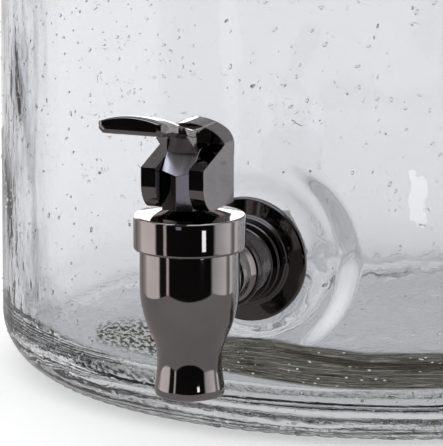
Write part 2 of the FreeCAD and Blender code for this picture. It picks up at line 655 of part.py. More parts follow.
def make_lid():
    """Glass lid with a seal round its plug and a knob held by a screw from below."""
    rest = "rim_height + lid_gap"
    top = rest + " + lid_thickness"
    crown = top + " + lid_dome"
    lid = turned("lid_body", [
        ("lid_hole", rest + " + lid_dome"),
        ("crown_radius", rest + " + lid_dome"),
        ("plug_radius - plug_wall", rest),
        ("plug_radius - plug_wall", rest + " - plug_depth"),
        ("plug_radius", rest + " - plug_depth"),
        ("plug_radius", rest),
        ("lid_radius - lid_edge", rest),
        ("lid_radius", rest + " + lid_edge", "lid_edge"),
        ("lid_radius", top + " - lid_edge"),
        ("lid_radius - lid_edge", top, "lid_edge"),
        ("crown_radius", crown),
        ("lid_hole", crown),
    ])
    keep(lid, "lid")
    seal = turned("lid_seal_body", [
        ("plug_radius", rest + " - plug_depth"),
        ("seal_radius - lid_edge", rest + " - plug_depth + seal_lip"),
        ("seal_radius", rest + " - plug_depth / 2"),
        ("seal_radius", rest + " - seal_lip"),
        ("lid_radius - lid_edge", rest + " - seal_lip"),
        ("lid_radius - lid_edge", rest),
        ("plug_radius", rest),
    ])
    keep(seal, "lid_seal")
    pad_top = crown + " + knob_pad"
    keep(washer("knob_pad_body", "lid_hole", "knob_foot_radius", crown, pad_top), "knob_pad")
    ball_middle = pad_top + " + knob_neck_height + sqrt(knob_radius^2 - knob_neck_radius^2)"
    knob_bore = "knob_screw_radius + running_gap"
    knob = turned("knob_body", [
        ("0", pad_top + " + knob_thread_depth"),
        (knob_bore, pad_top + " + knob_thread_depth"),
        (knob_bore, pad_top),
        ("knob_foot_radius", pad_top),
        ("knob_neck_radius", pad_top + " + knob_neck_height", "-knob_neck_height"),
        ("knob_radius", ball_middle, "knob_radius"),
        ("0", ball_middle + " + knob_radius", "knob_radius"),
    ])
    keep(knob, "knob")
    under = rest + " + lid_dome"
    keep(washer("knob_washer_body", "lid_hole", "knob_plate_radius", under + " - knob_plate", under),
         "knob_washer")
    head_top = under + " - knob_plate"
    screw = turned("knob_screw_body", [
        ("0", head_top + " - knob_screw_head_height"),
        ("knob_screw_head - lip_round", head_top + " - knob_screw_head_height"),
        ("knob_screw_head", head_top + " - knob_screw_head_height + lip_round"),
        ("knob_screw_head", head_top),
        ("knob_screw_radius", head_top),
        ("knob_screw_radius", pad_top + " + knob_thread_depth"),
        ("0", pad_top + " + knob_thread_depth"),
    ])
    keep(screw, "knob_screw")


make_jar()
make_shank()
make_wall_seals()
make_neck_trim()
make_tap_body()
make_bonnet()
make_stem()
make_stem_head()
make_lever()
make_lid()
doc.recompute()

faults = [item.Label for item in doc.Objects if {"Invalid", "Error"} & set(item.State)]
faults += [piece.Label for piece in SUBPARTS if piece.Shape.isNull() or not piece.Shape.isValid()]
if faults:
    raise RuntimeError("these did not come out right: " + ", ".join(faults))

os.makedirs("parts", exist_ok=True)
for piece in SUBPARTS:
    piece.Shape.exportStep("parts/%s.step" % piece.Label)
    box = piece.Shape.BoundBox
    print("%-18s %2d solids %10.1f mm3  z %.1f to %.1f" % (
        piece.Label, len(piece.Shape.Solids), piece.Shape.Volume, box.ZMin, box.ZMax))
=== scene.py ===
import json
import math
import random

import bmesh
import bpy
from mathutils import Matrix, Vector, noise


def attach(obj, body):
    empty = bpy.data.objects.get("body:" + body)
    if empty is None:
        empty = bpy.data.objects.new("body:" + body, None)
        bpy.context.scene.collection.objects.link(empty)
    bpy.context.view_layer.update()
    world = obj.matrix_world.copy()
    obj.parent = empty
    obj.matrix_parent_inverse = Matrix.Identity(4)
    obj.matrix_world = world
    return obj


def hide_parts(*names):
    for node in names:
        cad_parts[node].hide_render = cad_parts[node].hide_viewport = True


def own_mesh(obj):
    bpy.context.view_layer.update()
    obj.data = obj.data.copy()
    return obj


# A glass beverage dispenser with a black chromed lever tap, in metres: +Z up, tap towards -Y.

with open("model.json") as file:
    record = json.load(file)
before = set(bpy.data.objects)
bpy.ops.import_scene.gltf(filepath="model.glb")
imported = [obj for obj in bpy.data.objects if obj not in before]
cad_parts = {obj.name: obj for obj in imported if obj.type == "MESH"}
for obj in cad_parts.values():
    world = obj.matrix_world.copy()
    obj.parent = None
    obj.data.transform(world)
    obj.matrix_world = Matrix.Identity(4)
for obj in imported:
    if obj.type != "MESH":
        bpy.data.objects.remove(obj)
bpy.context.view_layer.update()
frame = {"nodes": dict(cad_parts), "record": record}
scene = bpy.context.scene
MM = 0.001

# ---------------------------------------------------------------- camera
AZIMUTH, ELEVATION = math.radians(22.19), math.radians(11.2)
CAMERA_AT = Vector((0.488883, -1.354016, 0.329404))
toward_camera = Vector((math.sin(AZIMUTH) * math.cos(ELEVATION),
                        -math.cos(AZIMUTH) * math.cos(ELEVATION), math.sin(ELEVATION)))
camera = bpy.data.objects.new("camera", bpy.data.cameras.new("camera"))
camera.data.lens = 358.9
camera.data.sensor_width = 36
camera.data.clip_end = 100
camera.location = CAMERA_AT
camera.rotation_euler = (-toward_camera).to_track_quat("-Z", "Y").to_euler()
scene.collection.objects.link(camera)
scene.camera = camera
scene.view_settings.view_transform = "Standard"
# light turns many times inside the jar's thick heel
scene.cycles.max_bounces = 20
scene.cycles.glossy_bounces = 12
scene.cycles.transmission_bounces = 16

# directions of the studio: out to the camera along the floor, and to its right
OUT = Vector((math.sin(AZIMUTH), -math.cos(AZIMUTH), 0))
RIGHT = Vector((math.cos(AZIMUTH), math.sin(AZIMUTH), 0))

# ---------------------------------------------------------------- sizes of the object
JAR_RADIUS = 131 * MM
HEEL = 18 * MM              # radius of the rounded edge the jar stands on
WALL_Y = -JAR_RADIUS        # foremost line of the wall, where the tap goes through
TAP_Z = 58.3 * MM           # the tap's level axis
STEM_Y = -180.1 * MM        # the tap's upright axis
STEM = Vector((0, STEM_Y, 0))


# ---------------------------------------------------------------- node helpers
def node(tree, kind, **settings):
    """A new shader node with these numbers in its sockets."""
    made = tree.nodes.new(kind)
    for name, setting in settings.items():
        made.inputs[name].default_value = setting
    return made


def maths(tree, operation, *values):
    made = tree.nodes.new("ShaderNodeMath")
    made.operation = operation
    for socket, given in zip(made.inputs, values):
        if isinstance(given, bpy.types.NodeSocket):
            tree.links.new(given, socket)
        else:
            socket.default_value = given
    return made.outputs[0]


def ramp(tree, factor, stops):
    """Colours or greys along a straight ramp, from (place, colour) stops."""
    made = tree.nodes.new("ShaderNodeValToRGB")
    marks = made.color_ramp.elements
    for index, (place, colour) in enumerate(stops):
        mark = marks[index] if index < 2 else marks.new(place)
        mark.position = place
        if not isinstance(colour, (tuple, list)):
            colour = (colour,) * 3
        mark.color = (*colour, 1)
    tree.links.new(factor, made.inputs["Fac"])
    return made.outputs["Color"]


def mixed(tree, factor, first, second, blend="MIX"):
    made = tree.nodes.new("ShaderNodeMix")
    made.data_type = "RGBA"
    made.blend_type = blend
    for socket, given in ((made.inputs[0], factor), (made.inputs[6], first), (made.inputs[7], second)):
        if isinstance(given, bpy.types.NodeSocket):
            tree.links.new(given, socket)
        elif isinstance(given, (tuple, list)):
            socket.default_value = (*given, 1)
        else:
            socket.default_value = given
    return made.outputs[2]


# ---------------------------------------------------------------- studio
def build_world():
    """White all round for what is looked at directly, and a studio of soft boxes and black
    flags for what the chrome and the glass mirror."""
    world = bpy.data.worlds.new("studio")
    scene.world = world
    world.use_nodes = True
    tree = world.node_tree
    tree.nodes.clear()
    link = tree.links.new
    where = tree.nodes.new("ShaderNodeTexCoord").outputs["Generated"]

    def along(direction):
        made = tree.nodes.new("ShaderNodeVectorMath")
        made.operation = "DOT_PRODUCT"
        link(where, made.inputs[0])
        made.inputs[1].default_value = direction
        return made.outputs["Value"]

    turn = maths(tree, "ARCTAN2", along(RIGHT), along(OUT))
    turn = maths(tree, "MULTIPLY_ADD", turn, 0.5 / math.pi, 0.5)
    height = maths(tree, "ARCSINE", along((0, 0, 1)))
    height = maths(tree, "MULTIPLY_ADD", height, 1 / math.pi, 0.5)

    def at(degrees):
        """A direction round the studio: 0 is the camera, positive to its right."""
        return degrees / 360 + 0.5

    def rise(degrees):
        """A direction above or below the horizon."""
        return 0.5 + degrees / 180

    warm, cool, grey = (1.0, 0.93, 0.90), (1.0, 0.97, 0.98), (1.0, 0.97, 0.93)

    def tone(strength, tint=warm):
        return tuple(strength * part for part in tint)

    # soft boxes at both sides, black flags and one thin warm gap left of the camera
    round_view = ramp(tree, turn, [
        (at(-180), tone(1.1, cool)), (at(-140), tone(0.25)), (at(-124), tone(0.6)),
        (at(-112), tone(1.35)), (at(-76), tone(1.3)), (at(-71), tone(0.02)), (at(-55), tone(0.02)),
        (at(-53.5), tone(1.0)), (at(-49), tone(0.9)), (at(-47.5), tone(0.012)), (at(50), tone(0.01)),
        (at(56), tone(0.75, cool)), (at(90), tone(1.25, cool)),
        (at(98), tone(0.35)), (at(103), tone(0.35)), (at(109), tone(1.3, cool)),
        (at(118), tone(0.9, cool)), (at(124), tone(0.42, grey)), (at(150), tone(0.42, grey)),
        (at(158), tone(0.9, cool)), (at(180), tone(1.1, cool))])
    back_light = ramp(tree, turn, [
        (0.0, 2.2), (at(-150), 2.2), (at(-135), 0.0), (at(158), 0.0), (at(168), 2.2), (1.0, 2.2)])
    back_height = ramp(tree, height, [
        (rise(-3), 0.0), (rise(0), 1.0), (rise(24), 1.0), (rise(27), 0.0)])
    low = mixed(tree, back_height, round_view, mixed(tree, 1.0, round_view, back_light, "ADD"))
    above = ramp(tree, height, [(0.0, 0.0), (rise(28), 0.0), (rise(48), 1.0), (1.0, 1.0)])
    top_box = (1.7, 1.8, 1.95)
    overhead = ramp(tree, height, [
        (0.0, tone(0.25)), (rise(50), tone(0.3)), (rise(60), top_box), (1.0, top_box)])
    mirrored = mixed(tree, above, low, overhead)

    # what shows through the glass, and what a ray meets after it has been inside the glass
    seen_through = ramp(tree, height, [
        (0.0, 1.0), (rise(14), 1.0), (rise(32), (0.42, 0.43, 0.42)), (1.0, (0.5, 0.52, 0.52))])
    in_glass = ramp(tree, height, [
        (0.0, 0.62), (rise(-50), 0.62), (rise(-42), 0.74), (rise(20), 0.74), (rise(34), 0.48),
        (rise(60), 0.45), (1.0, 0.6)])

    rays = tree.nodes.new("ShaderNodeLightPath").outputs
    entered = maths(tree, "GREATER_THAN", rays["Transmission Depth"], 0.5)
    mirrored = mixed(tree, entered, mirrored, in_glass)
    plain = mixed(tree, rays["Is Camera Ray"], (1.0, 1.0, 1.0), (1.05, 1.05, 1.05))
    plain = mixed(tree, rays["Is Transmission Ray"], plain, seen_through)
    colour = mixed(tree, rays["Is Glossy Ray"], plain, mirrored)
    light = node(tree, "ShaderNodeBackground", Strength=1.0)
    link(colour, light.inputs["Color"])
    out = tree.nodes.new("ShaderNodeOutputWorld")
    link(light.outputs[0], out.inputs["Surface"])


def emissive(name, colour):
    made = bpy.data.materials.new(name)
    made.use_nodes = True
    tree = made.node_tree
    tree.nodes.clear()
    glow = node(tree, "ShaderNodeEmission", Strength=1.0)
    glow.inputs["Color"].default_value = (*colour, 1)
    out = tree.nodes.new("ShaderNodeOutputMaterial")
    tree.links.new(glow.outputs[0], out.inputs["Surface"])
    return made


def only_for(made, kept):
    """Shows a piece of the studio to one kind of ray alone."""
    for kind in ("camera", "diffuse", "glossy", "transmission", "shadow", "volume_scatter"):
        setattr(made, "visible_" + kind, kind == kept)


def sheet(name, corners, finish):
    """A four-cornered sheet of the studio: both corners of one end, then both of the other."""
    mesh = bpy.data.meshes.new(name)
    mesh.from_pydata([tuple(corner) for corner in corners], [], [(0, 1, 3, 2)])
    mesh.materials.append(finish)
    made = bpy.data.objects.new(name, mesh)
    scene.collection.objects.link(made)
    return made


def level_sheet(name, middle, out_span, right_span, finish):
    """A level sheet, from how far to how far it goes towards the camera and to its right."""
    corners = [middle + OUT * out + RIGHT * right for right in right_span for out in out_span]
    return sheet(name, corners, finish)


def card(name, turn, reach, low, high, width, colour):
    """A small glowing card facing the tap, turn degrees to the right of the camera."""
    turn = math.radians(turn)
    away = OUT * math.cos(turn) + RIGHT * math.sin(turn)
    across = Vector((0, 0, 1)).cross(away) * (width / 2)
    middle = STEM + away * reach
    corners = [(p.x, p.y, z) for p in (middle - across, middle + across) for z in (low, high)]
    only_for(sheet(name, corners, emissive(name, colour)), "glossy")


def build_stage():
    """A pale floor, the table that the chrome mirrors and a few glowing cards."""
    paper = bpy.data.materials.new("pale_paper")
    paper.use_nodes = True
    shader = paper.node_tree.nodes["Principled BSDF"]
    shader.inputs["Base Color"].default_value = (0.93, 0.93, 0.93, 1)
    shader.inputs["Roughness"].default_value = 0.9
    shader.inputs["Specular IOR Level"].default_value = 0.0
    shader.inputs["Emission Color"].default_value = (1, 1, 1, 1)
    shader.inputs["Emission Strength"].default_value = 0.3
    below = Vector((0, 0, -0.2 * MM))
    floor = level_sheet("floor", below, (-40, 40), (-40, 40), paper)
    floor.visible_glossy = False

    # the table that the chrome mirrors is darker than the one that the glass passes on
    for_chrome, for_glass = (0.35, 0.335, 0.33), (0.7, 0.7, 0.71)
    sheen = emissive("table_in_mirror", for_chrome)
    tree = sheen.node_tree
    depth = tree.nodes.new("ShaderNodeLightPath").outputs["Transmission Depth"]
    entered = maths(tree, "GREATER_THAN", depth, 0.5)
    tone = mixed(tree, entered, for_chrome, for_glass)
    tree.links.new(tone, tree.nodes["Emission"].inputs["Color"])
    table = level_sheet("table_in_mirror", STEM + below, (-0.6, 0.165), (-0.19, 0.23), sheen)
    only_for(table, "glossy")

    # small cards that only the chrome sees
    reach = 165 * MM
    card("streak_card", 28.5, reach, 40.5 * MM, 52 * MM, 22 * MM, (2.9, 3.0, 3.0))
    card("head_card", -21, reach, 55.2 * MM, 72 * MM, 30 * MM, (0.46, 0.46, 0.56))
    # a bright card behind the tap, with no glow on the side that faces the jar
    finish = emissive("bonnet_card", (3.0, 3.0, 3.0))
    tree = finish.node_tree
    clear = tree.nodes.new("ShaderNodeBsdfTransparent")
    pick = tree.nodes.new("ShaderNodeMixShader")
    side = tree.nodes.new("ShaderNodeNewGeometry").outputs["Backfacing"]
    tree.links.new(side, pick.inputs[0])
    tree.links.new(clear.outputs[0], pick.inputs[1])
    tree.links.new(tree.nodes["Emission"].outputs[0], pick.inputs[2])
    tree.links.new(pick.outputs[0], tree.nodes["Material Output"].inputs["Surface"])
    gap = 2.8 * MM
    behind = [(x * MM, WALL_Y - gap, z * MM) for x in (-55, 6) for z in (85, 112)]
    only_for(sheet("bonnet_card", behind, finish), "glossy")


# ---------------------------------------------------------------- materials
def material(name, base, metallic, roughness):
    made = bpy.data.materials.new(name)
    made.use_nodes = True
    shader = made.node_tree.nodes["Principled BSDF"]
    shader.inputs["Base Color"].default_value = (*base, 1)
    shader.inputs["Metallic"].default_value = metallic
    shader.inputs["Roughness"].default_value = roughness
    return made, made.node_tree, shader


def grain(tree, scale, detail, stretch=None):
    """Noise over the surface, in the object's own measure."""
    place = tree.nodes.new("ShaderNodeTexCoord").outputs["Object"]
    if stretch:
        mapping = tree.nodes.new("ShaderNodeMapping")
        mapping.inputs["Scale"].default_value = stretch
        tree.links.new(place, mapping.inputs["Vector"])
        place = mapping.outputs[0]
    made = node(tree, "ShaderNodeTexNoise", Scale=scale, Detail=detail)
    tree.links.new(place, made.inputs["Vector"])
    return made


def bumped(tree, shader, height, strength, distance, under=None):
    made = node(tree, "ShaderNodeBump", Strength=strength, Distance=distance)
    tree.links.new(height, made.inputs["Height"])
    if under is not None:
        tree.links.new(under, made.inputs["Normal"])
    tree.links.new(made.outputs[0], shader.inputs["Normal"])
    return made.outputs[0]


def black_chrome(name="black_chrome", shade=1.0):
    # a shade below 1 darkens the base colour: the same chrome with painted shade, not another finish
    made, tree, shader = material(name, (0.30, 0.28, 0.28), 1.0, 0.05)
    shader.inputs["Specular Tint"].default_value = (1, 0.97, 0.96, 1)
    cloud = grain(tree, 55.0, 4.0)
    base = ramp(tree, cloud.outputs["Fac"], [
        (0.35, tuple(shade * part for part in (0.275, 0.257, 0.26))),
        (0.65, tuple(shade * part for part in (0.33, 0.309, 0.308)))])
    tree.links.new(base, shader.inputs["Base Color"])
    rough = ramp(tree, cloud.outputs["Fac"], [(0.3, 0.035), (0.7, 0.075)])
    tree.links.new(rough, shader.inputs["Roughness"])
    peel = grain(tree, 420.0, 2.0)
    first = bumped(tree, shader, peel.outputs["Fac"], 0.10, 0.00004)
    swell = grain(tree, 60.0, 1.0)
    bumped(tree, shader, swell.outputs["Fac"], 0.25, 0.0002, first)
    return made


def painted_highlight_facet():
    """The sloping facet on top of the stem's head: softly ground, with a base brighter and bluer than
    the chrome as a painted highlight.
    """
    # the bluish white base stands in for the overhead reflection: painted highlight
    made, tree, shader = material("painted_highlight_facet", (0.8, 0.8, 0.86), 1.0, 0.42)
    lines = grain(tree, 500.0, 2.0, stretch=(1.0, 0.2, 0.2))
    base = ramp(tree, lines.outputs["Fac"], [(0.35, (0.62, 0.62, 0.70)), (0.65, (0.9, 0.9, 0.96))])
    tree.links.new(base, shader.inputs["Base Color"])
    bumped(tree, shader, lines.outputs["Fac"], 0.15, 0.00003)
    return made


def painted_glass_shade(name, stops, scale, stretch, edge, slant=0.0, specks=None):
    """A filter inside the thick glass that paints the shade of what the glass refracts: darker streaks
    that fade out at its borders, slant in radians, and painted light specks in them where a number
    says how fine."""
    made = bpy.data.materials.new(name)
    made.use_nodes = True
    tree = made.node_tree
    tree.nodes.clear()
    place = tree.nodes.new("ShaderNodeTexCoord").outputs["UV"]
    mapping = tree.nodes.new("ShaderNodeMapping")
    mapping.inputs["Scale"].default_value = stretch
    mapping.inputs["Rotation"].default_value = (0, 0, slant)
    tree.links.new(place, mapping.inputs["Vector"])
    pattern = node(tree, "ShaderNodeTexNoise", Scale=scale, Detail=4.0)
    tree.links.new(mapping.outputs[0], pattern.inputs["Vector"])
    tone = ramp(tree, pattern.outputs["Fac"], stops)
    if specks:
        cells = node(tree, "ShaderNodeTexVoronoi", Scale=specks)
        spread = tree.nodes.new("ShaderNodeMapping")
        spread.inputs["Scale"].default_value = (5.0, 1.0, 1.0)
        tree.links.new(place, spread.inputs["Vector"])
        tree.links.new(spread.outputs[0], cells.inputs["Vector"])
        # painted glints: these specks let more light through than clear glass does
        painted_glint = ramp(tree, cells.outputs["Distance"], [(0.10, 1.0), (0.17, 0.0)])
        tone = mixed(tree, painted_glint, tone, (1.3, 1.3, 1.25))
    split = tree.nodes.new("ShaderNodeSeparateXYZ")
    tree.links.new(place, split.inputs[0])
    ends = ramp(tree, split.outputs[0], [(0.0, 0.0), (0.06, 1.0), (0.94, 1.0), (1.0, 0.0)])
    wander = maths(tree, "MULTIPLY_ADD", pattern.outputs["Fac"], edge * 1.2, -edge * 0.6)
    level = maths(tree, "ADD", split.outputs[1], wander)
    sides = ramp(tree, level, [(0.0, 0.0), (edge, 1.0), (1 - edge, 1.0), (1.0, 0.0)])
    shown = mixed(tree, 1.0, ends, sides, "MULTIPLY")
    colour = mixed(tree, shown, (1.0, 1.0, 1.0), tone)
    clear = tree.nodes.new("ShaderNodeBsdfTransparent")
    tree.links.new(colour, clear.inputs["Color"])
    out = tree.nodes.new("ShaderNodeOutputMaterial")
    tree.links.new(clear.outputs[0], out.inputs["Surface"])
    return made


def clear_glass(name="clear_glass", tint=(0.79, 0.797, 0.815), wavy=True):
    made, tree, shader = material(name, tint, 0.0, 0.0)
    shader.inputs["Transmission Weight"].default_value = 1.0
    shader.inputs["IOR"].default_value = 1.5
    if wavy:
        slow = grain(tree, 16.0, 1.0)
        first = bumped(tree, shader, slow.outputs["Fac"], 0.35, 0.004)
        fine = grain(tree, 130.0, 2.0, stretch=(1.0, 1.0, 0.6))
        bumped(tree, shader, fine.outputs["Fac"], 0.10, 0.0012, first)
    out = tree.nodes["Material Output"]
    rays = tree.nodes.new("ShaderNodeLightPath").outputs
    clear = tree.nodes.new("ShaderNodeBsdfTransparent")
    clear.inputs["Color"].default_value = (0.93, 0.945, 0.945, 1)
    mix = tree.nodes.new("ShaderNodeMixShader")
    tree.links.new(rays["Is Shadow Ray"], mix.inputs[0])
    tree.links.new(shader.outputs[0], mix.inputs[1])
    tree.links.new(clear.outputs[0], mix.inputs[2])
    tree.links.new(mix.outputs[0], out.inputs["Surface"])
    return made


def rubber():
    made, tree, shader = material("black_rubber", (0.018, 0.018, 0.019), 0.0, 0.55)
    dust = grain(tree, 900.0, 2.0)
    base = ramp(tree, dust.outputs["Fac"], [(0.3, (0.014, 0.014, 0.015)), (0.75, (0.03, 0.03, 0.031))])
    tree.links.new(base, shader.inputs["Base Color"])
    bumped(tree, shader, dust.outputs["Fac"], 0.25, 0.00008)
    return made


def silicone():
    made, tree, shader = material("milky_silicone", (0.8, 0.81, 0.8), 0.0, 0.38)
    shader.inputs["Subsurface Weight"].default_value = 0.15
    shader.inputs["Subsurface Radius"].default_value = (0.002, 0.002, 0.002)
    haze_and_painted_shade = grain(tree, 300.0, 2.0)
    base = ramp(tree, haze_and_painted_shade.outputs["Fac"], [(0.3, (0.76, 0.775, 0.765)), (0.7, (0.84, 0.85, 0.84))])
    tree.links.new(base, shader.inputs["Base Color"])
    bumped(tree, shader, haze_and_painted_shade.outputs["Fac"], 0.2, 0.00005)
    return made


def steel():
    made, tree, shader = material("stainless_steel", (0.56, 0.56, 0.55), 1.0, 0.24)
    lines = grain(tree, 900.0, 3.0, stretch=(1.0, 1.0, 0.06))
    base = ramp(tree, lines.outputs["Fac"], [(0.3, (0.50, 0.50, 0.49)), (0.7, (0.64, 0.64, 0.63))])
    tree.links.new(base, shader.inputs["Base Color"])
    rough = ramp(tree, lines.outputs["Fac"], [(0.3, 0.18), (0.7, 0.32)])
    tree.links.new(rough, shader.inputs["Roughness"])
    bumped(tree, shader, lines.outputs["Fac"], 0.15, 0.00003)
    return made


# ---------------------------------------------------------------- mesh helpers
def clamped(value):
    return min(max(value, 0), 1)


def eased(value):
    """From 0 to 1 with a soft start and a soft end."""
    t = clamped(value)
    return t * t * (3 - 2 * t)


def arc_points(start, end, radius, step):
    """Points on the short arc from start to end that turns left for a positive radius."""
    chord = (end[0] - start[0], end[1] - start[1])
    half = math.hypot(*chord) / 2
    rise = math.sqrt(max(radius * radius - half * half, 0)) * math.copysign(1, radius)
    centre = (start[0] + chord[0] / 2 - chord[1] / (2 * half) * rise,
              start[1] + chord[1] / 2 + chord[0] / (2 * half) * rise)
    sweep = 2 * math.asin(min(half / abs(radius), 1)) * math.copysign(1, radius)
    count = max(int(math.ceil(abs(sweep) * abs(radius) / step)), 3)
    first = math.atan2(start[1] - centre[1], start[0] - centre[0])
    return [(centre[0] + abs(radius) * math.cos(first + sweep * k / count),
             centre[1] + abs(radius) * math.sin(first + sweep * k / count))
            for k in range(1, count + 1)]


def outline(corners, step=0.4, soft=0.25, line_step=None):
    """A closed outline in millimetres: a corner is (across, up) or (across, up, arc radius).
    Sharp corners get a small round, held by a support point on each side."""
    points = []
    for index, corner in enumerate(corners):
        start = corners[index - 1][:2]
        if len(corner) == 3:
            points += arc_points(start, corner[:2], corner[2], step)
        else:
            length = math.dist(start, corner)
            if line_step and length > line_step:
                parts = int(math.ceil(length / line_step))
                points += [(start[0] + (corner[0] - start[0]) * k / parts,
                            start[1] + (corner[1] - start[1]) * k / parts) for k in range(1, parts)]
            points.append(tuple(corner))
    rounded = []
    total = len(points)
    for index, point in enumerate(points):
        before, after = points[index - 1], points[(index + 1) % total]
        into = Vector((point[0] - before[0], point[1] - before[1]))
        out = Vector((after[0] - point[0], after[1] - point[1]))
        if into.length < 1e-6 or out.length < 1e-6:
            continue
        bend = into.angle_signed(out)
        if abs(bend) < math.radians(14) or abs(point[0]) < 1e-6:
            rounded.append(point)
            continue
        reach = min(soft * math.tan(abs(bend) / 2), 0.42 * into.length, 0.42 * out.length)
        support = min(0.35 * soft, 0.06 * into.length, 0.06 * out.length)
        here = Vector(point)
        begin, end = here - into.normalized() * reach, here + out.normalized() * reach
        rounded.append(tuple(begin - into.normalized() * support))
        steps = max(2, int(abs(bend) / math.radians(15)))
        for k in range(steps + 1):
            t = k / steps
            rounded.append(tuple(begin * (1 - t) ** 2 + here * 2 * t * (1 - t) + end * t ** 2))
        rounded.append(tuple(end + out.normalized() * support))
    return rounded


def mesh_object(name, verts, faces, finish):
    mesh = bpy.data.meshes.new(name)
    mesh.from_pydata(verts, [], faces)
    mesh.validate()
    mesh.shade_smooth()
    mesh.materials.append(finish)
    made = bpy.data.objects.new(name, mesh)
    scene.collection.objects.link(made)
    return made


def lathe(name, points, finish, place=Vector((0, 0, 0)), level=False, count=160, angles=None,
          move=None):
    """Turns a closed outline (millimetres, across and up) about the upright axis at place, or
    about the tap's level axis, whose up direction points away from the wall."""
    angles = angles or [2 * math.pi * k / count for k in range(count)]
    verts, rings = [], []
    for across, up in points:
        if across < 1e-5:
            rings.append([len(verts)])
            spots = [(0.0, 0.0)]
        else:
            rings.append(list(range(len(verts), len(verts) + len(angles))))
            spots = [(across * math.sin(a), -across * math.cos(a)) for a in angles]
        for x, y in spots:
            if level:
                point = Vector((x * MM, WALL_Y - up * MM, TAP_Z - y * MM))
            else:
                point = Vector((x * MM, y * MM, up * MM)) + place
            verts.append(move(point) if move else point)
    faces = []
    turn = len(angles)
    for index, ring in enumerate(rings):
        after = rings[(index + 1) % len(rings)]
        if len(ring) == 1 and len(after) == 1:
            continue
        for k in range(turn):
            n = (k + 1) % turn
            if len(ring) == 1:
                faces.append((ring[0], after[n], after[k]))
            elif len(after) == 1:
                faces.append((ring[k], ring[n], after[0]))
            else:
                faces.append((ring[k], ring[n], after[n], after[k]))
    made = mesh_object(name, verts, faces, finish)
    bm = bmesh.new()
    bm.from_mesh(made.data)
    bmesh.ops.recalc_face_normals(bm, faces=bm.faces)
    bm.to_mesh(made.data)
    bm.free()
    return made


def stand_for(piece, body, slot, *nodes):
    """Puts a piece on its body in place of these CAD nodes, which it hides. The slot is not used."""
    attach(piece, body)
    if nodes:
        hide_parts(*nodes)
    return piece


